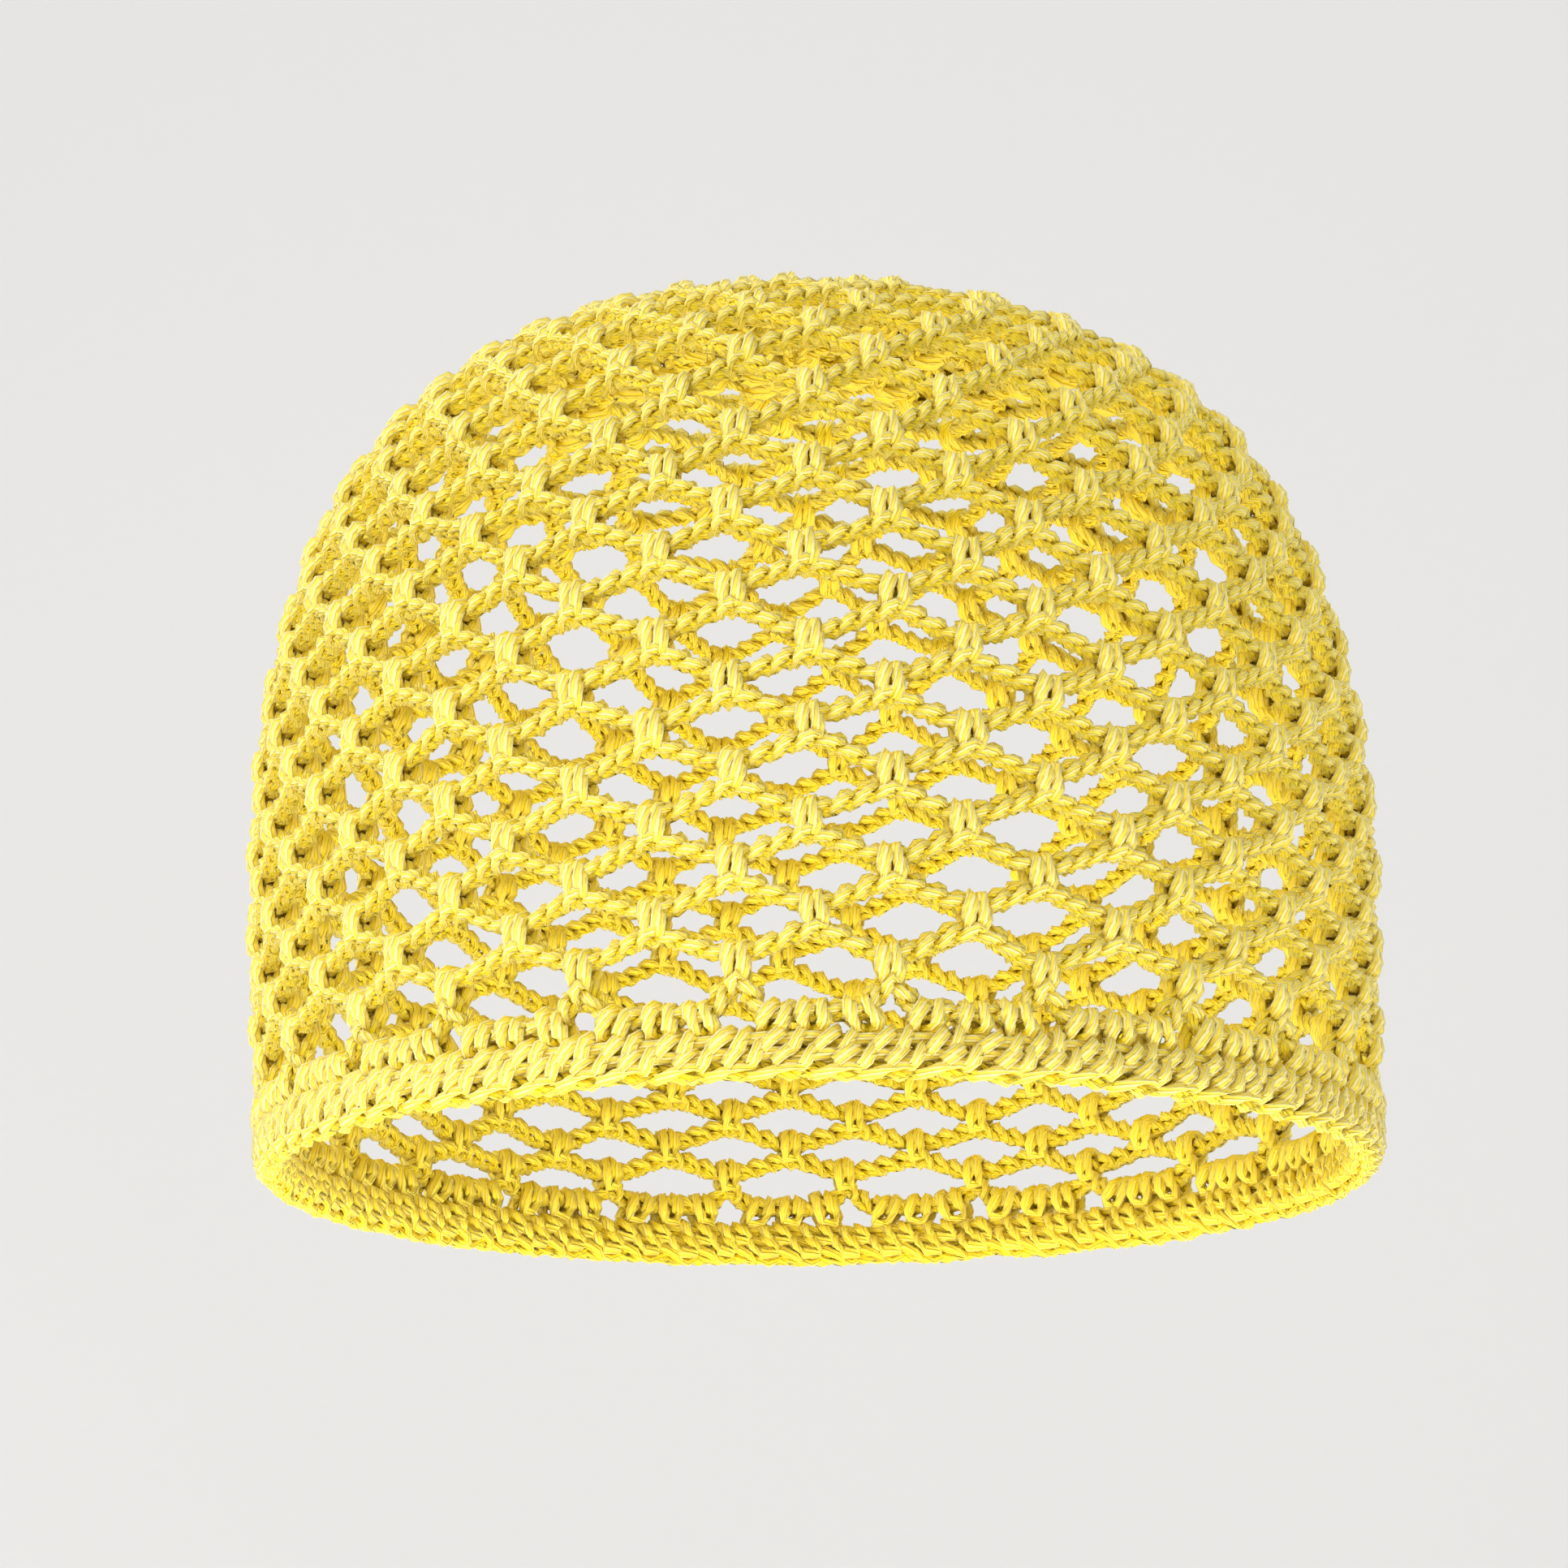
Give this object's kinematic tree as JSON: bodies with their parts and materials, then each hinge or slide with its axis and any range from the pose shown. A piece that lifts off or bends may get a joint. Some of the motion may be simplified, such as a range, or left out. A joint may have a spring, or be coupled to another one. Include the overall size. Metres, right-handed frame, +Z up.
{
  "type": "crochet mesh skull cap",
  "caption": "Brimless open-net cotton cap crocheted in rounds of chain loops, with a dense single crochet band and a corded rim; it keeps the domed shape it has when worn.",
  "frame": {"origin": "centre of the head opening, in the plane of the rim, where the cap sits on a head", "axes": "+Z up through the crown, -Y towards the brow, +X towards the right of a viewer who faces the brow"},
  "size_m": [0.171, 0.1964, 0.131],
  "materials": {
    "crown_ring": "plied cotton yarn, worked tight round a drawn ring",
    "crown_net": "plied cotton yarn, chain loops",
    "band": "plied cotton yarn, single crochet",
    "rim_edge": "plied cotton yarn, last round of stitches"
  },
  "bodies": {
    "root": {"crown_ring": "crown_ring", "crown_net": "crown_net", "band": "band", "rim_edge": "rim_edge"}
  },
  "joints": []
}
